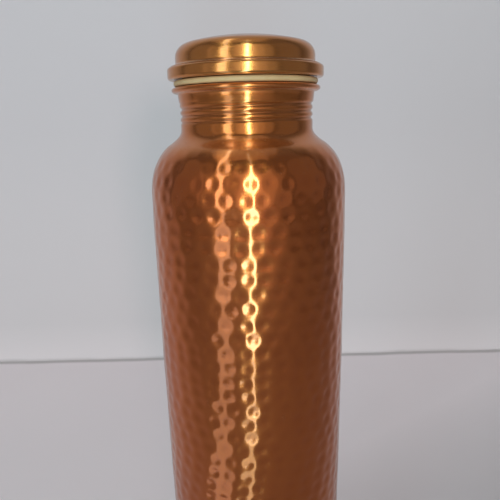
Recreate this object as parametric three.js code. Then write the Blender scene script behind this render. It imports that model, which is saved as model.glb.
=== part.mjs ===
// Copper water bottle: a drawn and hammered copper body whose neck carries a rolled screw thread,
// a dished base disc seated in its bottom hem, and a screw lid made of a spun cover, an inner
// threaded plug and a silicone sealing ring.
// Millimetres, +Z up, origin under the centre of the foot. A right-hand thread closes the lid.
import * as THREE from "three";

// Driving dimensions
const SIDES = 40; // facets round every turned piece
const SHEET = 0.7; // thickness of the copper sheet
const LID_TOP = 264; // height of the whole bottle
const BODY_RADIUS = 37.45; // widest, just under the shoulder
const FIT_GAP = 0.25; // clearance between the thread of the neck and that of the plug
const SEAT_GAP = 0.15; // clearance over and under the sealing ring
const SAME_POINT = 0.01; // two points of an outline closer than this are one

// Foot and side wall
const FOOT_RADIUS = 34.6;
const FOOT_ROUND = 3;
const FOOT_STEPS = 4;
const HEM_INNER_RADIUS = 29.4; // the hem turned in under the body is also the foot it stands on
const WALL_BOW = { radius: 36.9, height: 100 }; // the wall fills out in one long curve
const WALL_TOP = 190;
const WALL_STEPS = 6;

// Shoulder: part of an ellipse that runs up into the neck with a hollow fillet
const SHOULDER_FOOT = 207.3;
const SHOULDER_REACH = 13.75;
const SHOULDER_RISE = 20;
const SHOULDER_END_ANGLE = THREE.MathUtils.degToRad(66);
const SHOULDER_STEPS = 8;
const FILLET_PULL = 228.4; // where the slope of the shoulder would meet the side of the neck
const FILLET_STEPS = 5;
const NECK_RADIUS = 24.95;
const NECK_FOOT = 230.6;
const NECK_FLARE_FOOT = 238; // from here the neck opens out towards the lip

// Neck thread: one helical groove pressed in from outside, so that it stands proud inside
const LEAD = 2.5; // rise of the thread in one turn
const THREAD_DEPTH = 0.6;
const GROOVE_NARROWING = 1.6; // above 1, the grooves are narrower than the crests between them
const THREAD_FOOT = 232.5;
const THREAD_TOP = 241;
const THREAD_FADE = 1.5; // height over which the groove runs out at each end
const THREAD_STEP = 0.5; // height between rows of points along the thread
const THREAD_PHASE = 236.3; // height of a groove's centre at the front of the bottle

// Rolled lip
const LIP_TOP = 246.3;
const LIP_HEIGHT = 2.5;
const LIP_FOOT = LIP_TOP - LIP_HEIGHT;
const LIP_RADIUS = 27.8;
const LIP_CENTRE_RADIUS = 25.55;
const LIP_BORE_RADIUS = 25;

// Base disc
const BASE_RADIUS = 31.9;
const BASE_SEAT = 1; // height of its rim, just over the hem
const BASE_STEP_RADIUS = 28.6; // inside the hem it steps up into a dish
const BASE_STEP = 1.3;
const BASE_STEP_SLOPE = 1.2; // how far in the step reaches
const BASE_DISH = 2.2; // rise of the dish at its centre

// Sealing ring
const RING_BORE_RADIUS = 23.7;
const RING_RADIUS = 26.9;
const RING_FLAT_RADIUS = 26.3;
const RING_TOP = 248.5;

// Plug
const PLUG_FOOT = 232.2;
const PLUG_DISH = 1.2; // its floor is pressed up a little
const PLUG_DISH_MARGIN = 2; // flat rim round the dish
const PLUG_ROUND = 1.6;
const PLUG_RADIUS = NECK_RADIUS - SHEET - THREAD_DEPTH - FIT_GAP;
const PLUG_FLANGE_RADIUS = 25.3;
const PLUG_THREAD_FOOT = 233.8;
const PLUG_THREAD_TOP = 242;

// Lid cover: the side flares into a narrow ledge, a fine crease, and a bead with an upright face
const BEAD_FOOT = RING_TOP + SEAT_GAP;
const BEAD_TOP = 253.1;
const BEAD_RADIUS = 29;
const BEAD_INNER_RADIUS = 25.6;
const BEAD_ROUND = 1.1;
const BEAD_START_ANGLE = THREE.MathUtils.degToRad(120);
const CREASE = { radius: 27.25, height: 253 };
const LEDGE = { radius: 27.8, height: 253.35 };
const COVER_RADIUS = 25.9;
const COVER_WALL_FOOT = 254.4;
const COVER_ROUND = 5; // between the side and the crown
const CROWN_RADIUS = 90; // the crown is part of a sphere

const COPPER = { color: 0xb4643a, roughness: 0.28, metalness: 1 };
const LID_COPPER = { color: 0xbf7a4c, roughness: 0.24, metalness: 1 };
const SILICONE = { color: 0xcbbfa8, roughness: 0.55, metalness: 0 };

const QUARTER = Math.PI / 2;

// Outlines are lists of points (radius, height).
const point = (radius, height) => new THREE.Vector2(radius, height);

// Points along part of an ellipse, from one angle to another, both ends included.
function arc(centre, across, up, start, end, steps) {
  return Array.from({ length: steps + 1 }, (_, i) => {
    const angle = start + ((end - start) * i) / steps;
    return point(centre.x + across * Math.cos(angle), centre.y + up * Math.sin(angle));
  });
}

// Points along part of a circle.
function bend(centre, radius, start, end, steps) {
  return arc(centre, radius, radius, start, end, steps);
}

// Points along a curve pulled towards one control point.
function bow(start, control, end, steps) {
  return new THREE.QuadraticBezierCurve(start, control, end).getPoints(steps);
}

// Drops each point that lies on the one before it.
function withoutRepeats(points) {
  return points.filter((p, i) => i === 0 || p.distanceTo(points[i - 1]) > SAME_POINT);
}

// The same outline moved to its left by a distance, such as the inside of a sheet.
function offset(points, distance) {
  return points.map((p, i) => {
    const before = points[Math.max(i - 1, 0)];
    const after = points[Math.min(i + 1, points.length - 1)];
    const along = after.clone().sub(before).normalize();
    return point(p.x - along.y * distance, p.y + along.x * distance);
  });
}

// Turns an outline about +Z. It runs anticlockwise as seen with the axis on the left.
function turned(outline) {
  const geometry = new THREE.LatheGeometry(withoutRepeats(outline), SIDES);
  geometry.rotateX(Math.PI / 2);
  return geometry;
}

// 1 along the middle of the helical groove and 0 along the crest between two turns of it,
// fading to 0 at both ends of the thread.
function groove(x, y, height, foot, top) {
  const turn = (Math.atan2(y, x) + Math.PI / 2) / (2 * Math.PI);
  const phase = (height - THREAD_PHASE) / LEAD - turn;
  const wave = (0.5 + 0.5 * Math.cos(2 * Math.PI * phase)) ** GROOVE_NARROWING;
  const rampUp = THREE.MathUtils.smoothstep(height, foot, foot + THREAD_FADE);
  const rampDown = 1 - THREE.MathUtils.smoothstep(height, top - THREAD_FADE, top);
  return { wave, fade: rampUp * rampDown };
}

// Moves every point of a turned piece outwards by a distance worked out for that point.
function moveOut(geometry, distanceAt) {
  const positions = geometry.getAttribute("position");
  for (let i = 0; i < positions.count; i += 1) {
    const x = positions.getX(i);
    const y = positions.getY(i);
    const radius = Math.hypot(x, y);
    if (radius > 0) {
      const scale = 1 + distanceAt(x, y, positions.getZ(i), radius) / radius;
      positions.setX(i, x * scale);
      positions.setY(i, y * scale);
    }
  }
  geometry.computeVertexNormals();
  return geometry;
}

// Straight rows of points up a wall, close enough together to carry the thread.
function threadRows(radiusAt, foot, top) {
  const count = Math.floor((top - foot) / THREAD_STEP);
  return Array.from({ length: count + 1 }, (_, i) => {
    const height = foot + i * THREAD_STEP;
    return point(radiusAt(height), height);
  });
}

// The neck is straight for most of its height, then flares towards the lip.
function neckRadius(height) {
  const flare = THREE.MathUtils.smoothstep(height, NECK_FLARE_FOOT, LIP_FOOT);
  return NECK_RADIUS + (LIP_CENTRE_RADIUS - NECK_RADIUS) * flare;
}

function shoulderOutline() {
  const centre = point(BODY_RADIUS - SHOULDER_REACH, SHOULDER_FOOT);
  const curve = arc(centre, SHOULDER_REACH, SHOULDER_RISE, 0, SHOULDER_END_ANGLE, SHOULDER_STEPS);
  const pull = point(NECK_RADIUS, FILLET_PULL);
  return [...curve, ...bow(curve.at(-1), pull, point(NECK_RADIUS, NECK_FOOT), FILLET_STEPS)];
}

// Outside of the body, from the inner edge of the hem up to the foot of the lip.
function bodyOutside() {
  const footCentre = point(FOOT_RADIUS - FOOT_ROUND, FOOT_ROUND);
  const wallFoot = point(FOOT_RADIUS, FOOT_ROUND);
  const wallPull = point(WALL_BOW.radius, WALL_BOW.height);
  return [
    point(HEM_INNER_RADIUS, 0),
    ...bend(footCentre, FOOT_ROUND, -QUARTER, 0, FOOT_STEPS),
    ...bow(wallFoot, wallPull, point(BODY_RADIUS, WALL_TOP), WALL_STEPS),
    ...shoulderOutline(),
    ...threadRows(neckRadius, THREAD_FOOT, LIP_FOOT),
  ];
}

// The sheet rolled outwards into a round lip, from its foot over the top and into the bore.
function lipOutline() {
  const half = LIP_HEIGHT / 2;
  const reach = LIP_RADIUS - LIP_CENTRE_RADIUS;
  const inner = LIP_CENTRE_RADIUS - LIP_BORE_RADIUS;
  return [
    ...arc(point(LIP_CENTRE_RADIUS, LIP_TOP - half), reach, half, -QUARTER, QUARTER, 8),
    ...bend(point(LIP_CENTRE_RADIUS, LIP_TOP - inner), inner, QUARTER, 2 * QUARTER, 2),
  ];
}

function bodyGeometry() {
  const outside = withoutRepeats(bodyOutside());
  const inside = offset(outside, SHEET);
  inside[0] = point(HEM_INNER_RADIUS, SHEET);
  const outline = [...outside, ...lipOutline(), ...inside.reverse(), outside[0]];
  return moveOut(turned(outline), (x, y, height) => {
    const { wave, fade } = groove(x, y, height, THREAD_FOOT, THREAD_TOP);
    return -THREAD_DEPTH * wave * fade;
  });
}

// A flat rim over the hem, a step, and a dish that rises to the centre.
function baseGeometry() {
  const dishFoot = BASE_SEAT + BASE_STEP;
  const dishTop = dishFoot + BASE_DISH;
  const dishEdge = point(BASE_STEP_RADIUS - BASE_STEP_SLOPE, dishFoot);
  const dish = bow(dishEdge, point(BASE_STEP_RADIUS / 2, dishTop), point(0, dishTop), 5);
  const under = [...dish.reverse(), point(BASE_STEP_RADIUS, BASE_SEAT), point(BASE_RADIUS, BASE_SEAT)];
  const over = under.map((p) => point(p.x, p.y + SHEET)).reverse();
  return turned([...under, ...over]);
}

// A flat ring with a rounded outer edge.
function ringGeometry() {
  const foot = LIP_TOP + SEAT_GAP;
  const half = (RING_TOP - foot) / 2;
  const edge = RING_RADIUS - RING_FLAT_RADIUS;
  return turned([
    point(RING_BORE_RADIUS, foot),
    ...arc(point(RING_FLAT_RADIUS, foot + half), edge, half, -QUARTER, QUARTER, 6),
    point(RING_BORE_RADIUS, RING_TOP),
    point(RING_BORE_RADIUS, foot),
  ]);
}

// A cup open at the top, with the thread round its outside and a flange that meets the cover.
function plugGeometry() {
  const flangeFoot = BEAD_FOOT;
  const flangeTop = flangeFoot + SHEET;
  const bore = PLUG_RADIUS - SHEET;
  const corner = point(PLUG_RADIUS - PLUG_ROUND, PLUG_FOOT + PLUG_ROUND);
  const middle = PLUG_FOOT + PLUG_DISH;
  const dishEdge = point(corner.x - PLUG_DISH_MARGIN, PLUG_FOOT);
  const floor = bow(point(0, middle), point(corner.x / 2, middle), dishEdge, 4);
  const outside = [
    ...floor,
    ...bend(corner, PLUG_ROUND, -QUARTER, 0, 3),
    ...threadRows(() => PLUG_RADIUS, PLUG_THREAD_FOOT, PLUG_THREAD_TOP),
    point(PLUG_RADIUS, flangeFoot),
    point(PLUG_FLANGE_RADIUS, flangeFoot),
  ];
  const inside = [
    point(PLUG_FLANGE_RADIUS, flangeTop),
    point(bore, flangeTop),
    point(bore, corner.y),
    point(corner.x, PLUG_FOOT + SHEET),
    ...floor.map((p) => point(p.x, p.y + SHEET)).reverse(),
  ];
  return moveOut(turned([...outside, ...inside]), (x, y, height, radius) => {
    if (radius < PLUG_RADIUS - SAME_POINT) {
      return 0;
    }
    const { wave, fade } = groove(x, y, height, PLUG_THREAD_FOOT, PLUG_THREAD_TOP);
    return THREAD_DEPTH * (1 - wave) * fade;
  });
}

// The crown of the cover and the round edge below it, from the axis out to the side wall.
function crown(inset) {
  const sphereCentre = point(0, LID_TOP - CROWN_RADIUS);
  const edgeRadius = COVER_RADIUS - COVER_ROUND;
  const reach = CROWN_RADIUS - COVER_ROUND;
  const meet = Math.acos(edgeRadius / reach); // where the crown passes into the round edge
  const edgeCentre = point(edgeRadius, sphereCentre.y + reach * Math.sin(meet));
  return [
    ...bend(sphereCentre, CROWN_RADIUS - inset, QUARTER, meet, 4),
    ...bend(edgeCentre, COVER_ROUND - inset, meet, 0, 5),
  ];
}

// The bead rolled round the rim, from the crease down its upright face and in under it.
function bead(inset) {
  const centre = BEAD_RADIUS - BEAD_ROUND;
  const round = BEAD_ROUND - inset;
  return [
    ...bend(point(centre, BEAD_TOP - BEAD_ROUND), round, BEAD_START_ANGLE, 0, 5),
    ...bend(point(centre, BEAD_FOOT + BEAD_ROUND), round, 0, -QUARTER, 4),
    point(BEAD_INNER_RADIUS, BEAD_FOOT + inset),
  ];
}

// A spun cover: crown, side wall, flared ledge, crease and bead.
function coverGeometry() {
  const outside = [
    ...crown(0),
    point(COVER_RADIUS, COVER_WALL_FOOT),
    point(LEDGE.radius, LEDGE.height),
    point(CREASE.radius, CREASE.height),
    ...bead(0),
  ];
  const inside = [
    ...bead(SHEET).reverse(),
    point(CREASE.radius - SHEET / 2, CREASE.height - SHEET),
    point(COVER_RADIUS - SHEET, COVER_WALL_FOOT - SHEET / 2),
    ...crown(SHEET).reverse(),
  ];
  return turned([...outside, ...inside].reverse());
}

function piece(name, geometry, finish) {
  const mesh = new THREE.Mesh(geometry, new THREE.MeshStandardMaterial(finish));
  mesh.name = name;
  return mesh;
}

const bottle = new THREE.Group();
bottle.add(piece("bottle_body", bodyGeometry(), COPPER));
bottle.add(piece("base_disc", baseGeometry(), COPPER));

const lid = new THREE.Group();
lid.add(piece("sealing_ring", ringGeometry(), SILICONE));
lid.add(piece("threaded_plug", plugGeometry(), LID_COPPER));
lid.add(piece("lid_cover", coverGeometry(), LID_COPPER));
bottle.add(lid);

export default bottle;
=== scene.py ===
"""A hammered copper water bottle with a screw lid, standing on a pale studio floor."""

import math

import bpy
import numpy as np
from mathutils import Matrix, Vector


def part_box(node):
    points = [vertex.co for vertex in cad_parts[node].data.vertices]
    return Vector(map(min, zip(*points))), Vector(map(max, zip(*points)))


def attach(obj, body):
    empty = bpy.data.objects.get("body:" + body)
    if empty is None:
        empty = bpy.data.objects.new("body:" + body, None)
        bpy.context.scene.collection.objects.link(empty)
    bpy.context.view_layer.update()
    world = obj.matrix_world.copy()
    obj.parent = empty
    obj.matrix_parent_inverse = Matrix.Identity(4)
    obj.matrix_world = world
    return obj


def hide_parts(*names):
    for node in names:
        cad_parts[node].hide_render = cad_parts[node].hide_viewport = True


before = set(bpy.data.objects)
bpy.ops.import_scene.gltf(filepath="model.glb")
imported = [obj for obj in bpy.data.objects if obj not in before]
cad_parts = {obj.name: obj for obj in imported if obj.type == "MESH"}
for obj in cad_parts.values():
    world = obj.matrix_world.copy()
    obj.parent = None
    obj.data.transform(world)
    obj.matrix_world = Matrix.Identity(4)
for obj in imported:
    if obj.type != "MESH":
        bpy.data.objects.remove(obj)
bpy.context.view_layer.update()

MM = 0.001
TURN = 2 * math.pi
SHEET = 0.7 * MM
FIT_GAP = 0.25 * MM  # between the thread of the neck and that of the plug
SAME_POINT = 0.01 * MM

# Sizes read from the frame
BODY_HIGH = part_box("bottle_body")[1]
COVER_LOW, COVER_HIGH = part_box("lid_cover")
RING_LOW, RING_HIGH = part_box("sealing_ring")
PLUG_LOW, PLUG_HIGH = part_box("threaded_plug")
BASE_LOW, BASE_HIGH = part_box("base_disc")

# Shape of the body, in metres
BODY_RADIUS = BODY_HIGH.x
FOOT_RADIUS = 34.6 * MM
FOOT_ROUND = 3 * MM
HEM_RADIUS = 29.4 * MM
WALL_BOW = (36.9 * MM, 100 * MM)
WALL_TOP = 190 * MM
SHOULDER_FOOT = 207.3 * MM
SHOULDER_REACH = 13.75 * MM
SHOULDER_RISE = 20 * MM
SHOULDER_END = math.radians(66)
FILLET_PULL = 228.4 * MM
NECK_RADIUS = 24.95 * MM
NECK_FOOT = 230.6 * MM
NECK_FLARE_FOOT = 238 * MM
LIP_TOP = BODY_HIGH.z
LIP_HEIGHT = 2.5 * MM
LIP_RADIUS = 27.8 * MM
LIP_CENTRE = 25.55 * MM
LIP_BORE = 25 * MM

# Thread, shared by the neck and the plug
LEAD = 2.5 * MM
THREAD_DEPTH = 0.6 * MM
GROOVE_NARROWING = 1.6
THREAD_FADE = 1.5 * MM
THREAD_PHASE = 236.3 * MM
NECK_THREAD = (232.5 * MM, 241 * MM)
PLUG_THREAD = (233.8 * MM, 242 * MM)

# Hammer marks
MARKS_AROUND = 36
MARK_ROW = 5.45 * MM
MARK_RADIUS = 3.05 * MM
MARK_DEPTH = 0.25 * MM
MARK_TOP = 223.4 * MM
MARK_FOOT = 7 * MM
MARK_SLIP = 0.3 * MM  # how far a mark strays from its place
MARK_STRENGTH = (0.3, 0.8, 1.0)  # of the two highest rows, and of all those below
ROW_SHIFTS = (-0.3, -0.1, 0.1, 0.25, 0.45)  # of one row against the next, in marks
UNEVENNESS = 0.045 * MM
EVEN_BELOW = (4 * MM, 12 * MM)  # the unevenness fades in over these heights
EVEN_ABOVE = (228 * MM, 233 * MM)  # and out over these

# Fineness of the meshes
COLUMNS = 256
BASE_COLUMNS = 144
RING_COLUMNS = 192
ROW_STEP = 1.02 * MM
NECK_STEP = 0.36 * MM
INSIDE_STEP = 0.6 * MM
PLUG_STEP = 0.25 * MM

# Shape of the lid cover
COVER_RADIUS = 25.9 * MM
COVER_WALL_FOOT = 254.4 * MM
COVER_ROUND = 5 * MM
CROWN_RADIUS = 90 * MM
LEDGE = (27.8 * MM, 253.35 * MM)
CREASE = (27.25 * MM, 253 * MM)
BEAD_TOP = 253.1 * MM
BEAD_ROUND = 1.1 * MM
BEAD_INNER_RADIUS = 25.6 * MM


# ---------------------------------------------------------------- outlines

def arc(centre, across, up, start, end, steps):
    """Points of part of an ellipse, from one angle to another."""
    angles = np.linspace(start, end, steps + 1)
    return np.stack([centre[0] + across * np.cos(angles), centre[1] + up * np.sin(angles)], 1)


def bow(start, control, end, steps):
    """Points of a curve pulled towards one control point."""
    t = np.linspace(0, 1, steps + 1)[:, None]
    start, control, end = np.array(start), np.array(control), np.array(end)
    return (1 - t) ** 2 * start + 2 * t * (1 - t) * control + t ** 2 * end


def join(*runs):
    """One outline from several runs of points, without repeated points."""
    points = np.concatenate([np.atleast_2d(np.array(run, float)) for run in runs])
    far = np.linalg.norm(np.diff(points, axis=0), axis=1) > 1e-6
    return points[np.concatenate([[True], far])]


def spaced(points, step):
    """The same outline with its points a step apart along it."""
    along = np.concatenate([[0], np.cumsum(np.linalg.norm(np.diff(points, axis=0), axis=1))])
    wanted = np.linspace(0, along[-1], max(2, round(along[-1] / step) + 1))
    return np.stack([np.interp(wanted, along, points[:, k]) for k in (0, 1)], 1)


def left_of(points):
    """Unit normals on the left of an outline."""
    along = np.gradient(points, axis=0)
    along /= np.linalg.norm(along, axis=1)[:, None]
    return np.stack([-along[:, 1], along[:, 0]], 1)


def smoothstep(x, low, high):
    t = np.clip((x - low) / (high - low), 0, 1)
    return t * t * (3 - 2 * t)


# ---------------------------------------------------------------- meshes

def turned(name, outline, columns=COLUMNS, lift=None, closed=True):
    """A solid turned about +Z from rows of (radius, height), with its outside on their right.
    lift is how far each point of the grid stands out from the outline. An outline that is not
    closed starts and ends on the axis."""
    rows = len(outline)
    angles = np.arange(columns) / columns * TURN
    radius = np.repeat(outline[:, :1], columns, 1)
    height = np.repeat(outline[:, 1:], columns, 1)
    if lift is not None:
        normals = -left_of(outline)
        radius = radius + normals[:, :1] * lift
        height = height + normals[:, 1:] * lift
    grid = np.stack([radius * np.cos(angles), radius * np.sin(angles), height], 2)
    index = np.arange(rows * columns).reshape(rows, columns)
    if closed:
        faces = strips(index, np.roll(index, -1, 0)).tolist()
        points = grid.reshape(-1, 3)
    else:
        index = index[:rows - 2]
        first, last = index.size, index.size + 1
        faces = strips(index[:-1], index[1:]).tolist()
        faces += [(first, b, a) for a, b in zip(index[0], np.roll(index[0], -1))]
        faces += [(last, a, b) for a, b in zip(index[-1], np.roll(index[-1], -1))]
        points = np.concatenate([grid[1:-1].reshape(-1, 3), grid[[0, -1], 0]])
    mesh = bpy.data.meshes.new(name)
    mesh.from_pydata(points, [], faces)
    mesh.validate()
    mesh.shade_smooth()
    piece = bpy.data.objects.new(name, mesh)
    bpy.context.scene.collection.objects.link(piece)
    return piece


def strips(low, high):
    """Four-sided faces between rows of point numbers and the rows after them."""
    return np.stack([low, np.roll(low, -1, 1), np.roll(high, -1, 1), high], 2).reshape(-1, 4)


def mark(piece, name, values):
    """Stores one number for each point of a piece, for its material to read."""
    attribute = piece.data.attributes.new(name, "FLOAT", "POINT")
    attribute.data.foreach_set("value", np.asarray(values, np.float32).ravel())


# ---------------------------------------------------------------- surface detail

def grid_of(outline):
    """Angle, height and distance along the outline at every point of its grid."""
    angles = np.arange(COLUMNS) / COLUMNS * TURN
    along = np.concatenate([[0], np.cumsum(np.linalg.norm(np.diff(outline, axis=0), axis=1))])
    return angles, outline[:, 1], along


def groove(heights, angles, span):
    """1 along the helical groove and 0 on the crests between its turns, and how fully it is cut."""
    phase = (heights[:, None] - THREAD_PHASE) / LEAD - (angles[None] / TURN + 0.25)
    wave = (0.5 + 0.5 * np.cos(TURN * phase)) ** GROOVE_NARROWING
    low, high = span
    fade_in = smoothstep(heights, low, low + THREAD_FADE)
    fade_out = 1 - smoothstep(heights, high - THREAD_FADE, high)
    return wave, (fade_in * fade_out)[:, None]


def hammer_marks(outline, rng):
    """Depth of the hammer marks over the grid, 0 between them and 1 at the bottom of a full one."""
    angles, heights, along = grid_of(outline)
    depth = np.zeros((len(outline), COLUMNS))
    rows = int((MARK_TOP - MARK_FOOT) / MARK_ROW)
    rising = slice(np.argmax(heights) + 1)
    top = np.interp(MARK_TOP, heights[rising], along[rising])
    start = 0.0
    for row in range(rows + 1):
        start += rng.choice(ROW_SHIFTS) * TURN / MARKS_AROUND
        for k in range(MARKS_AROUND):
            slip = rng.normal(0, MARK_SLIP, 2)
            strength = rng.uniform(0.75, 1.15) * MARK_STRENGTH[min(row, 2)]
            reach = MARK_RADIUS * rng.uniform(0.92, 1.08)
            middle = top - row * MARK_ROW + slip[0]
            radius = np.interp(middle, along, outline[:, 0])
            turn = k / MARKS_AROUND * TURN + start + slip[1] / radius
            near = np.nonzero(np.abs(along - middle) < reach)[0]
            aside = (angles - turn + math.pi) % TURN - math.pi
            beside = np.nonzero(np.abs(aside) * radius < reach)[0]
            across = aside[beside][None] * radius
            up = (along[near] - middle)[:, None]
            share = np.clip(1 - (across ** 2 + up ** 2) / reach ** 2, 0, 1)
            depth[np.ix_(near, beside)] += strength * share ** 2
    return depth


def unevenness(outline, rng, waves=14):
    """Slow hand-made unevenness over the grid, about -1 to 1."""
    angles, _, along = grid_of(outline)
    total = np.zeros((len(outline), COLUMNS))
    for _ in range(waves):
        around = rng.integers(2, 9)
        length = rng.uniform(18, 60) * MM
        shift = rng.uniform(0, TURN, 2)
        sideways = np.sin(around * angles[None] + shift[0])
        total += sideways * np.sin(TURN * along[:, None] / length + shift[1])
    return total / math.sqrt(waves)


# ---------------------------------------------------------------- pieces

def neck_radius(height):
    flare = smoothstep(height, NECK_FLARE_FOOT, LIP_TOP - LIP_HEIGHT)
    return NECK_RADIUS + (LIP_CENTRE - NECK_RADIUS) * flare


def wall_outline():
    """Outside of the wall, from the inner edge of the hem up to the foot of the thread."""
    foot = FOOT_RADIUS - FOOT_ROUND
    shoulder = arc((BODY_RADIUS - SHOULDER_REACH, SHOULDER_FOOT), SHOULDER_REACH, SHOULDER_RISE,
                   0, SHOULDER_END, 60)
    fillet = bow(shoulder[-1], (NECK_RADIUS, FILLET_PULL), (NECK_RADIUS, NECK_FOOT), 16)
    return join(
        (HEM_RADIUS, 0),
        arc((foot, FOOT_ROUND), FOOT_ROUND, FOOT_ROUND, -math.pi / 2, 0, 12),
        bow((FOOT_RADIUS, FOOT_ROUND), WALL_BOW, (BODY_RADIUS, WALL_TOP), 60),
        shoulder,
        fillet,
        (NECK_RADIUS, NECK_THREAD[0]),
    )


def neck_outline(step):
    """Outside of the threaded neck, up to the foot of the lip."""
    heights = np.arange(NECK_THREAD[0], LIP_TOP - LIP_HEIGHT - step / 2, step)
    return np.stack([neck_radius(heights), heights], 1)


def lip_outline():
    half = LIP_HEIGHT / 2
    inner, outer = LIP_CENTRE - LIP_BORE, LIP_RADIUS - LIP_CENTRE
    return join(
        arc((LIP_CENTRE, LIP_TOP - half), outer, half, -math.pi / 2, math.pi / 2, 14),
        arc((LIP_CENTRE, LIP_TOP - inner), inner, inner, math.pi / 2, math.pi, 4),
    )


def make_shell():
    """The hammered body with its shoulder, threaded neck, rolled lip and hem, as one sheet."""
    rng = np.random.default_rng(7)
    outside = join(spaced(wall_outline(), ROW_STEP), neck_outline(NECK_STEP))
    lip = lip_outline()
    coarse = join(wall_outline()[::4], neck_outline(INSIDE_STEP))
    inside = (coarse + left_of(coarse) * SHEET)[::-1]
    inside[-1] = (HEM_RADIUS, SHEET)
    outline = join(outside, lip, inside)
    depth = np.zeros((len(outline), COLUMNS))
    depth[:len(outside)] = hammer_marks(outside, rng)
    wobble = np.zeros_like(depth)
    wobble[:len(outside)] = unevenness(outside, rng)
    angles, heights, _ = grid_of(outline)
    uneven = smoothstep(heights, *EVEN_BELOW) * (1 - smoothstep(heights, *EVEN_ABOVE))
    wave, fade = groove(heights, angles, NECK_THREAD)
    turns_inside = np.ones(len(outline))
    turns_inside[len(outside) + len(lip):] = -1
    lift = -MARK_DEPTH * depth + UNEVENNESS * (wobble - 1) * uneven[:, None]
    lift -= THREAD_DEPTH * wave * fade * turns_inside[:, None]
    shell = turned("hammered_shell", outline, lift=lift)
    is_inside = np.repeat((turns_inside < 0)[:, None], COLUMNS, 1)
    mark(shell, "dent", depth)
    mark(shell, "inside", is_inside)
    mark(shell, "groove", wave * fade)
    return shell


def make_base():
    """The pressed disc: a dish in the middle, a step down round it and a flat rim on the hem."""
    seat = BASE_LOW.z
    step, dish = 1.3 * MM, 2.2 * MM
    dish_radius, step_radius, dish_pull = 27.4 * MM, 28.2 * MM, 14 * MM
    middle, edge = seat + step + dish, seat + step
    under = join(
        bow((0, middle), (dish_pull, middle), (dish_radius, edge), 24),
        bow((dish_radius, edge), (step_radius, seat), (HEM_RADIUS, seat), 6),
        (BASE_HIGH.x, seat),
    )
    outline = join(under, (under + (0, SHEET))[::-1])
    return turned("pressed_base", outline, BASE_COLUMNS, closed=False)


def make_ring():
    """The silicone ring: flat above and below, and rounded on the outside."""
    low, high = RING_LOW.z, RING_HIGH.z
    half = (high - low) / 2
    bore, edge, corner = 23.7 * MM, 0.8 * MM, 0.3 * MM
    outline = join(
        arc((bore + corner, low + corner), corner, corner, math.pi, 1.5 * math.pi, 4),
        arc((RING_HIGH.x - edge, low + half), edge, half, -math.pi / 2, math.pi / 2, 16),
        arc((bore + corner, high - corner), corner, corner, math.pi / 2, math.pi, 4),
    )
    return turned("silicone_ring", outline, RING_COLUMNS)


def make_plug():
    """The inner cup of the lid: dished floor, rolled thread and flange."""
    radius = NECK_RADIUS - SHEET - THREAD_DEPTH - FIT_GAP
    foot, flange = PLUG_LOW.z, PLUG_HIGH.z - SHEET
    dish, dish_margin, rounding, turn_out = 1.2 * MM, 2 * MM, 1.6 * MM, 0.4 * MM
    edge = radius - rounding
    floor = bow((0, foot + dish), (edge / 2, foot + dish), (edge - dish_margin, foot), 20)
    heights = np.arange(PLUG_THREAD[0], PLUG_THREAD[1] + PLUG_STEP / 2, PLUG_STEP)
    outside = join(
        floor,
        arc((edge, foot + rounding), rounding, rounding, -math.pi / 2, 0, 8),
        np.stack([np.full_like(heights, radius), heights], 1),
        (radius, flange - turn_out),
        arc((radius + turn_out, flange - turn_out), turn_out, turn_out, math.pi, math.pi / 2, 4),
        (PLUG_HIGH.x, flange),
    )
    inside = join(
        (PLUG_HIGH.x, flange + SHEET),
        (radius - SHEET, flange + SHEET),
        (radius - SHEET, foot + rounding + SHEET),
        (edge - SHEET, foot + SHEET),
        (floor + (0, SHEET))[::-1],
    )
    outline = join(outside, inside)
    angles, heights, _ = grid_of(outline)
    wave, fade = groove(heights, angles, PLUG_THREAD)
    on_side = outline[:, 0] > radius - SAME_POINT
    on_side &= np.arange(len(outline)) < len(outside)
    lift = THREAD_DEPTH * (1 - wave) * fade * on_side[:, None]
    return turned("rolled_plug", outline, lift=lift, closed=False)


def crown(inset):
    """The crown of the cover and the round edge below it, from the axis out."""
    centre = COVER_HIGH.z - CROWN_RADIUS
    edge, reach = COVER_RADIUS - COVER_ROUND, CROWN_RADIUS - COVER_ROUND
    meet = math.acos(edge / reach)
    sphere, rounding = CROWN_RADIUS - inset, COVER_ROUND - inset
    return join(
        arc((0, centre), sphere, sphere, math.pi / 2, meet, 40),
        arc((edge, centre + reach * math.sin(meet)), rounding, rounding, meet, 0, 20),
    )


def bead(inset):
    """The bead rolled round the rim, from the crease down its upright face and in under it."""
    centre, rounding = COVER_HIGH.x - BEAD_ROUND, BEAD_ROUND - inset
    low = COVER_LOW.z
    return join(
        arc((centre, BEAD_TOP - BEAD_ROUND), rounding, rounding, math.radians(115), 0, 12),
        arc((centre, low + BEAD_ROUND), rounding, rounding, 0, -math.pi / 2, 10),
        (BEAD_INNER_RADIUS, low + inset),
    )


def make_cover():
    """The spun cover: crown, side, flared ledge, crease and rolled bead."""
    side, foot = COVER_RADIUS, COVER_WALL_FOOT
    flare_start, flare_end = (side, foot), (side + 0.7 * MM, foot - 0.72 * MM)
    outline = join(
        crown(0),
        (side, foot + 0.3 * MM),
        bow(flare_start, (side, foot - 0.5 * MM), flare_end, 6),
        (LEDGE[0] - 0.15 * MM, LEDGE[1] + 0.06 * MM),
        LEDGE,
        (LEDGE[0], LEDGE[1] - 0.1 * MM),
        CREASE,
        bead(0),
        bead(SHEET)[::-1],
        (CREASE[0] - SHEET / 2, CREASE[1] - SHEET),
        (side - SHEET, foot - SHEET / 2),
        crown(SHEET)[::-1],
    )
    return turned("spun_cover", outline[::-1], closed=False)


# ---------------------------------------------------------------- materials

def colour(red, green, blue):
    return (red, green, blue, 1.0)


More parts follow.
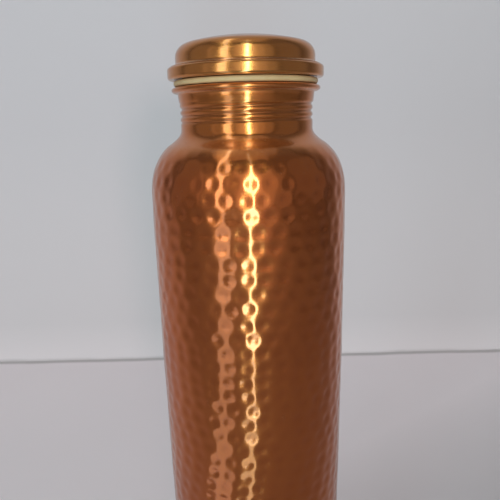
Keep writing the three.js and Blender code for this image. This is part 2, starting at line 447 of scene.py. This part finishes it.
# Copper of the hammered body
BODY_BRIGHT, BODY_DULL = colour(0.80, 0.21, 0.045), colour(0.70, 0.17, 0.036)
BODY_DENT = colour(0.62, 0.14, 0.03)
BODY_NECK = colour(0.82, 0.28, 0.055)
# Painted reflection: paler copper round the foot of the neck and under the lip
BODY_PAINTED_REFLECTION = colour(0.82, 0.28, 0.08)
BODY_INSIDE = colour(0.50, 0.24, 0.13)
# Darker tone for the groove of the thread
GROOVE_DARKENING = colour(0.34, 0.12, 0.05)
SPECKS = colour(0.38, 0.15, 0.07)

# Copper of the other pieces, bright and dull
BASE_COPPER = colour(0.66, 0.27, 0.12), colour(0.46, 0.18, 0.08)
PLUG_COPPER = colour(0.74, 0.33, 0.15), colour(0.54, 0.22, 0.10)
LID_COPPER = colour(0.84, 0.33, 0.08), colour(0.70, 0.24, 0.06)

# Copper that is seen mirrored in other copper
BODY_MIRRORED, SPUN_MIRRORED = colour(0.86, 0.60, 0.38), colour(0.86, 0.62, 0.40)

SILICONE = colour(0.76, 0.55, 0.28), colour(0.66, 0.46, 0.23)
FLOOR_PAINT = colour(0.92, 0.86, 0.89), colour(0.87, 0.81, 0.84)
BACKDROP_PAINT = colour(0.76, 0.72, 0.745)
# Painted shade on the floor in front of the bottle
FRONT_PAINTED_SHADE = colour(0.42, 0.40, 0.405)
MIRRORED_PAINT = colour(0.24, 0.21, 0.20)
# Painted shadow along the crease at the foot of the backdrop
CREASE_PAINTED_SHADE = colour(0.30, 0.29, 0.28)

# Heights where the finish of the body changes, and where paler copper is painted in as reflected light
SPINNING = (214 * MM, 232 * MM)  # the lathe's rings come in between these
# In these two bands paler copper is painted in as reflected light, and the copper is rougher
HOLLOW = (221.8 * MM, 225 * MM, 227.2 * MM, 229.2 * MM)  # round the foot of the neck
UNDER_LIP = (242.5 * MM, 243.7 * MM, 244.7 * MM, 245.5 * MM)


class Nodes:
    """A material's node tree, with short calls to add and join nodes."""

    def __init__(self, name):
        self.material = bpy.data.materials.new(name)
        self.material.use_nodes = True
        self.tree = self.material.node_tree
        self.shader = self.tree.nodes["Principled BSDF"]

    def add(self, kind, **inputs):
        """A new node. An input is given by its name, or as i and its number."""
        node = self.tree.nodes.new(kind)
        for key, value in inputs.items():
            self.feed(node.inputs[int(key[1:]) if key[1:].isdigit() else key], value)
        return node

    def feed(self, socket, value):
        if isinstance(value, bpy.types.NodeSocket):
            self.tree.links.new(value, socket)
        else:
            socket.default_value = value

    def math(self, operation, a, b=0.0, clamp=False):
        node = self.add("ShaderNodeMath", i0=a, i1=b)
        node.operation = operation
        node.use_clamp = clamp
        return node.outputs[0]

    def noise(self, vector, scale, detail=2.0, roughness=0.5):
        node = self.add("ShaderNodeTexNoise", Scale=scale, Detail=detail, Roughness=roughness)
        self.feed(node.inputs["Vector"], vector)
        return node.outputs["Fac"]

    def attribute(self, name):
        node = self.add("ShaderNodeAttribute")
        node.attribute_name = name
        return node.outputs["Fac"]

    def span(self, value, low, high, to_low=0.0, to_high=1.0):
        node = self.add("ShaderNodeMapRange", i0=value, i1=low, i2=high, i3=to_low, i4=to_high)
        return node.outputs[0]

    def band(self, value, limits):
        """1 between the middle two of four limits, fading to 0 at the outer two."""
        low, full, still_full, high = limits
        return self.math("MULTIPLY", self.span(value, low, full), self.span(value, high, still_full))

    def share(self, value, part):
        return self.math("MULTIPLY", value, part)

    def mix(self, factor, a, b):
        node = self.add("ShaderNodeMix")
        node.data_type = "RGBA"
        self.feed(node.inputs["Factor"], factor)
        self.feed(node.inputs[6], a)
        self.feed(node.inputs[7], b)
        return node.outputs[2]

    def bump(self, height, distance, strength):
        node = self.add("ShaderNodeBump", Strength=strength, Distance=distance, Height=height)
        return node.outputs["Normal"]

    def metal(self, base, seen_again):
        """Base colour, and a paler one wherever the copper is seen mirrored in other copper."""
        self.feed(self.shader.inputs["Base Color"], self.mix(self.mirrored(), base, seen_again))
        self.shader.inputs["Metallic"].default_value = 1.0

    def mirrored(self):
        return self.add("ShaderNodeLightPath").outputs["Is Glossy Ray"]

    def lacquer(self, roughness):
        """The thin clear film that copper ware is sold with."""
        self.shader.inputs["Coat Weight"].default_value = 0.55
        self.shader.inputs["Coat IOR"].default_value = 1.6
        self.shader.inputs["Coat Roughness"].default_value = roughness

    def place(self):
        return self.add("ShaderNodeTexCoord").outputs["Object"]

    def split(self, vector):
        return self.add("ShaderNodeSeparateXYZ", Vector=vector).outputs


def spun_lines(nodes, place, per_metre):
    """Fine rings left by spinning: noise that changes only with radius and height."""
    x, y, z = nodes.split(place)
    square = nodes.math("ADD", nodes.math("MULTIPLY", x, x), nodes.math("MULTIPLY", y, y))
    radius = nodes.math("SQRT", square)
    along = nodes.math("MULTIPLY", nodes.math("SUBTRACT", z, radius), per_metre)
    node = nodes.add("ShaderNodeTexNoise", Scale=1.0, Detail=3.0, Roughness=0.6)
    node.noise_dimensions = "1D"
    nodes.feed(node.inputs["W"], along)
    return node.outputs["Fac"]


def hammered_copper():
    """Polished copper, darker in the marks and along the groove of the thread, with lathe rings on the
    neck, and paler copper painted round the foot of the neck and under the lip as reflected light.
    """
    nodes = Nodes("hammered_copper")
    place = nodes.place()
    height = nodes.split(place)[2]
    dent = nodes.math("MULTIPLY", nodes.attribute("dent"), 1.0, clamp=True)
    inside = nodes.attribute("inside")
    cloud = nodes.span(nodes.noise(place, 22.0, 4.0, 0.6), 0.32, 0.68)
    fine = nodes.noise(place, 420.0, 4.0, 0.65)
    specks = nodes.span(nodes.noise(place, 900.0, 2.0, 0.5), 0.66, 0.76)
    neck = nodes.span(height, *SPINNING)
    # Painted reflection: paler copper round the foot of the neck and under the lip, which is also
    # rougher there
    painted_reflection_and_rough = nodes.math("MAXIMUM", nodes.band(height, HOLLOW), nodes.band(height, UNDER_LIP))

    base = nodes.mix(cloud, BODY_BRIGHT, BODY_DULL)
    base = nodes.mix(nodes.share(dent, 0.35), base, BODY_DENT)
    base = nodes.mix(nodes.share(neck, 0.6), base, BODY_NECK)
    base = nodes.mix(painted_reflection_and_rough, base, BODY_PAINTED_REFLECTION)
    # Darker along the groove of the thread
    base = nodes.mix(nodes.share(nodes.attribute("groove"), 0.35), base, GROOVE_DARKENING)
    base = nodes.mix(nodes.share(specks, 0.35), base, SPECKS)
    base = nodes.mix(inside, base, BODY_INSIDE)
    nodes.metal(base, BODY_MIRRORED)

    rough = nodes.span(fine, 0.3, 0.7, 0.12, 0.2)
    for mask, more in ((inside, 0.22), (specks, 0.12), (painted_reflection_and_rough, 0.07)):
        rough = nodes.math("ADD", rough, nodes.share(mask, more))
    nodes.feed(nodes.shader.inputs["Roughness"], rough)

    rings = nodes.math("MULTIPLY", spun_lines(nodes, place, 2600.0), neck)
    scratch = nodes.math("ADD", rings, nodes.share(fine, 0.8))
    nodes.feed(nodes.shader.inputs["Normal"], nodes.bump(scratch, 0.02 * MM, 0.5))
    nodes.lacquer(0.07)
    return nodes.material


def spun_copper(name, tones, roughness):
    """Copper with the fine rings of a spinning lathe."""
    nodes = Nodes(name)
    place = nodes.place()
    rings = spun_lines(nodes, place, 3200.0)
    cloud = nodes.span(nodes.noise(place, 45.0, 4.0, 0.6), 0.35, 0.7)
    fine = nodes.noise(place, 500.0, 3.0, 0.6)
    bright, dull = tones
    base = nodes.mix(nodes.share(cloud, 0.7), bright, dull)
    base = nodes.mix(nodes.span(rings, 0.55, 0.8, 0.0, 0.35), base, dull)
    rough = nodes.span(rings, 0.3, 0.7, roughness - 0.04, roughness + 0.08)
    rough = nodes.math("ADD", rough, nodes.span(fine, 0.4, 0.7, 0.0, 0.06))
    height = nodes.math("ADD", rings, nodes.share(fine, 0.4))
    nodes.metal(base, SPUN_MIRRORED)
    nodes.feed(nodes.shader.inputs["Roughness"], rough)
    nodes.feed(nodes.shader.inputs["Normal"], nodes.bump(height, 0.03 * MM, 0.6))
    nodes.lacquer(roughness / 2)
    return nodes.material


def silicone():
    nodes = Nodes("silicone")
    place = nodes.place()
    cloud = nodes.span(nodes.noise(place, 160.0, 3.0), 0.35, 0.65)
    fine = nodes.noise(place, 1400.0, 3.0, 0.6)
    base = nodes.mix(cloud, *SILICONE)
    nodes.feed(nodes.shader.inputs["Base Color"], base)
    nodes.feed(nodes.shader.inputs["Roughness"], nodes.span(fine, 0.3, 0.7, 0.42, 0.6))
    nodes.feed(nodes.shader.inputs["Normal"], nodes.bump(fine, 0.04 * MM, 0.5))
    nodes.shader.inputs["Subsurface Weight"].default_value = 0.15
    nodes.shader.inputs["Subsurface Radius"].default_value = (3 * MM, 2 * MM, 1.5 * MM)
    return nodes.material


def floor_paint():
    """Pale paint, with painted shade in front of the bottle and a painted shadow along the foot of the
    backdrop, a tone darker up the backdrop, and darker where the copper mirrors it."""
    nodes = Nodes("floor")
    place = nodes.place()
    x, y, _ = nodes.split(place)
    waver = nodes.span(nodes.noise(place, 14.0, 3.0), 0, 1, -3 * MM, 3 * MM)
    depth = nodes.math("ADD", y, waver)
    right = nodes.math("MAXIMUM", x, -20 * MM)
    front = nodes.math("SUBTRACT", depth, nodes.share(right, 0.7))
    from_edge = nodes.math("ABSOLUTE", nodes.math("SUBTRACT", depth, FLOOR_EDGE - 3 * MM))
    crease = nodes.span(from_edge, 5 * MM, 1.5 * MM)

    base = nodes.mix(nodes.noise(place, 6.0, 4.0), *FLOOR_PAINT)
    base = nodes.mix(nodes.span(depth, FLOOR_EDGE - 10 * MM, FLOOR_EDGE + 30 * MM), base, BACKDROP_PAINT)
    # Painted shade: the floor in front of the bottle, more so to the right, is darker
    base = nodes.mix(nodes.span(front, 90 * MM, -140 * MM), base, FRONT_PAINTED_SHADE)
    # Painted shadow along the crease at the foot of the backdrop
    base = nodes.mix(nodes.share(crease, 0.55), base, CREASE_PAINTED_SHADE)
    base = nodes.mix(nodes.share(nodes.mirrored(), 0.32), base, MIRRORED_PAINT)
    nodes.feed(nodes.shader.inputs["Base Color"], base)
    nodes.shader.inputs["Roughness"].default_value = 0.7
    return nodes.material


# ---------------------------------------------------------------- stage

FLOOR_EDGE = 0.30
CAMERA_DISTANCE = 0.2135
CAMERA_HEIGHT = 0.2346
CAMERA_PITCH = math.radians(13.6)
CAMERA_ROLL = math.radians(1.45)
CAMERA_LENS = 39.24


def make_camera():
    data = bpy.data.cameras.new("camera")
    data.lens = CAMERA_LENS
    data.sensor_width = 36
    data.clip_start = 0.01
    camera = bpy.data.objects.new("camera", data)
    camera.location = (0, -CAMERA_DISTANCE, CAMERA_HEIGHT)
    camera.rotation_euler = (math.pi / 2 - CAMERA_PITCH, 0, 0)
    camera.rotation_euler.rotate_axis("Z", -CAMERA_ROLL)
    bpy.context.scene.collection.objects.link(camera)
    bpy.context.scene.camera = camera


def make_floor():
    """A pale floor with a backdrop that rises from it in a curve, well behind the bottle."""
    edge, lean, bend = FLOOR_EDGE, math.radians(40), 0.30
    centre = (edge - bend * math.sin(lean), bend * math.cos(lean))
    near, side, top = -1.2, 2.0, 2.4
    curve = arc(centre, bend, bend, lean - math.pi / 2, 0, 24)
    profile = join((near, 0), (edge, 0), curve, (centre[0] + bend, top))
    points = [(x, y, z) for y, z in profile for x in (-side, side)]
    faces = [(2 * i, 2 * i + 1, 2 * i + 3, 2 * i + 2) for i in range(len(profile) - 1)]
    mesh = bpy.data.meshes.new("floor")
    mesh.from_pydata(points, [], faces)
    mesh.shade_smooth()
    mesh.set_sharp_from_angle(angle=math.radians(15))
    floor = bpy.data.objects.new("floor", mesh)
    floor.data.materials.append(floor_paint())
    bpy.context.scene.collection.objects.link(floor)


def strip_light(name, start, end, width, brightness, tint, back=None):
    """A flat rectangular light from one point to another, facing the bottle unless told its back."""
    start, end = Vector(start), Vector(end)
    along = (end - start).normalized()
    back = (start + end) / 2 - Vector(AIM) if back is None else Vector(back)
    back = (back - back.dot(along) * along).normalized()
    across = along.cross(back)
    data = bpy.data.lights.new(name, "AREA")
    data.shape = "RECTANGLE"
    data.size, data.size_y = width, (end - start).length
    data.energy = brightness * math.pi * data.size * data.size_y
    data.color = tint
    light = bpy.data.objects.new(name, data)
    turn = Matrix((across, along, back)).transposed().to_4x4()
    light.matrix_world = Matrix.Translation((start + end) / 2) @ turn
    light.visible_camera = False
    bpy.context.scene.collection.objects.link(light)
    return light


# Where the lights face, and their tints
AIM = (0, 0, 0.2)
DAYLIGHT = (0.67, 1.0, 1.02)
GOLD = (1.0, 0.96, 0.85)
COOL = (0.80, 1.0, 1.04)
SKY = (0.56, 1.04, 1.3)
HAZE = (0.70, 1.0, 1.4)
ROSE = (1.0, 0.72, 0.70)
LOW = 3 * MM  # height of the strips of light on the floor

# Corners of the two tall strips, from the floor up and over the bottle, and of the light they
# throw along the floor, from far to near
KEY = ((0.06, -1.4, 0.0), (0.10, -1.4, 1.1), (0.09, -1.1, 1.5), (0.06, -0.25, 1.75))
SECOND = ((-0.76, -1.17, 0.0), (-0.76, -1.17, 1.2), (-0.30, 0.2, 1.75))
KEY_FLOOR = ((0.05, -1.3), (0.012, -0.62), (0.0, -0.36), (-0.012, -0.22), (-0.022, -0.11))
SECOND_FLOOR = ((-0.60, -1.10), (-0.28, -0.48), (-0.17, -0.25), (-0.09, -0.09))

# Middle and width of each soft panel between the strips, and their distance and height
PANELS = ((-0.16, 1.3), (-0.02, 0.9), (0.22, 1.1), (0.50, 1.3))
PANEL_DISTANCE, PANEL_SLANT, PANEL_TOP = 1.46, 0.25, 1.6


def make_lights():
    """Two tall strips with their light on the floor, soft panels all round, and a light for the
    backdrop with one that shades it."""
    strip_light("key", KEY[0], KEY[1], 0.13, 9.0, DAYLIGHT)
    strip_light("key_top", KEY[1], KEY[2], 0.13, 9.0, DAYLIGHT)
    strip_light("key_high", KEY[2], KEY[3], 0.08, 1.0, DAYLIGHT)
    for k, (x, width) in enumerate(PANELS):
        y = PANEL_SLANT * x - PANEL_DISTANCE
        strip_light(f"glow_{k}", (x, y, 0.0), (x, y, PANEL_TOP), width, 0.145, GOLD)
    strip_light("ceiling", (-0.9, -0.1, 1.9), (0.6, -0.1, 1.9), 1.5, 0.2, GOLD)
    strip_light("second", SECOND[0], SECOND[1], 0.32, 2.1, COOL)
    strip_light("second_high", SECOND[1], SECOND[2], 0.15, 1.9, COOL)
    strip_light("second_glow", (-1.08, -0.98, 0.0), (-1.08, -0.98, 1.3), 0.7, 0.12, GOLD)
    strip_light("left_glow", (-1.3, -0.35, 0.0), (-1.3, -0.35, 1.6), 1.0, 0.08, GOLD)
    strip_light("right_glow", (1.3, -0.35, 0.0), (1.3, -0.35, 1.6), 1.0, 0.04, GOLD)
    floor_strips("key", KEY_FLOOR, (0.09, 0.05, 0.026, 0.026), (6.8, 6.0, 2.8, 1.25), SKY)
    floor_strips("second", SECOND_FLOOR, (0.18, 0.10, 0.06), (0.8, 0.56, 0.46), HAZE)
    soft = strip_light("backdrop", (-0.85, 0.12, 1.0), (0.55, 0.12, 1.0), 0.35, 0.25, ROSE,
                       back=(0, -0.33, 0.94))
    soft.data.spread = math.radians(80)
    soft.visible_glossy = False
    shade = strip_light("shade", (0.30, -1.4, 0.18), (0.30, -1.4, 0.34), 0.14, 44.0, ROSE)
    shade.visible_glossy = False


def floor_strips(name, corners, widths, brightness, tint):
    """Strips of light lying just over the floor and facing up, each dimmer than the one before."""
    for k, (width, value) in enumerate(zip(widths, brightness)):
        start, end = (*corners[k], LOW), (*corners[k + 1], LOW)
        strip_light(f"{name}_floor_{k}", start, end, width, value, tint, back=(0, 0, -1))


def make_world():
    """Dim surroundings, with a paler tone where the camera sees past the stage."""
    world = bpy.data.worlds.new("world")
    bpy.context.scene.world = world
    world.use_nodes = True
    tree = world.node_tree
    background = tree.nodes["Background"]
    background.inputs["Color"].default_value = (0.97, 0.97, 1.0, 1)
    seen = tree.nodes.new("ShaderNodeLightPath").outputs["Is Camera Ray"]
    strength = tree.nodes.new("ShaderNodeMapRange")
    strength.inputs["To Min"].default_value = 0.14
    strength.inputs["To Max"].default_value = 0.5
    tree.links.new(seen, strength.inputs["Value"])
    tree.links.new(strength.outputs[0], background.inputs["Strength"])


# ---------------------------------------------------------------- assembly

def dress(piece, material, body, node):
    piece.data.materials.append(material)
    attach(piece, body)
    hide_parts(node)


make_camera()
make_floor()
make_lights()
make_world()
dress(make_shell(), hammered_copper(), "bottle", "bottle_body")
dress(make_base(), spun_copper("pressed_copper", BASE_COPPER, 0.38), "bottle", "base_disc")
dress(make_ring(), silicone(), "seal", "sealing_ring")
dress(make_plug(), spun_copper("plug_copper", PLUG_COPPER, 0.3), "lid", "threaded_plug")
dress(make_cover(), spun_copper("lid_copper", LID_COPPER, 0.12), "lid", "lid_cover")
bpy.context.scene.view_settings.view_transform = "Standard"
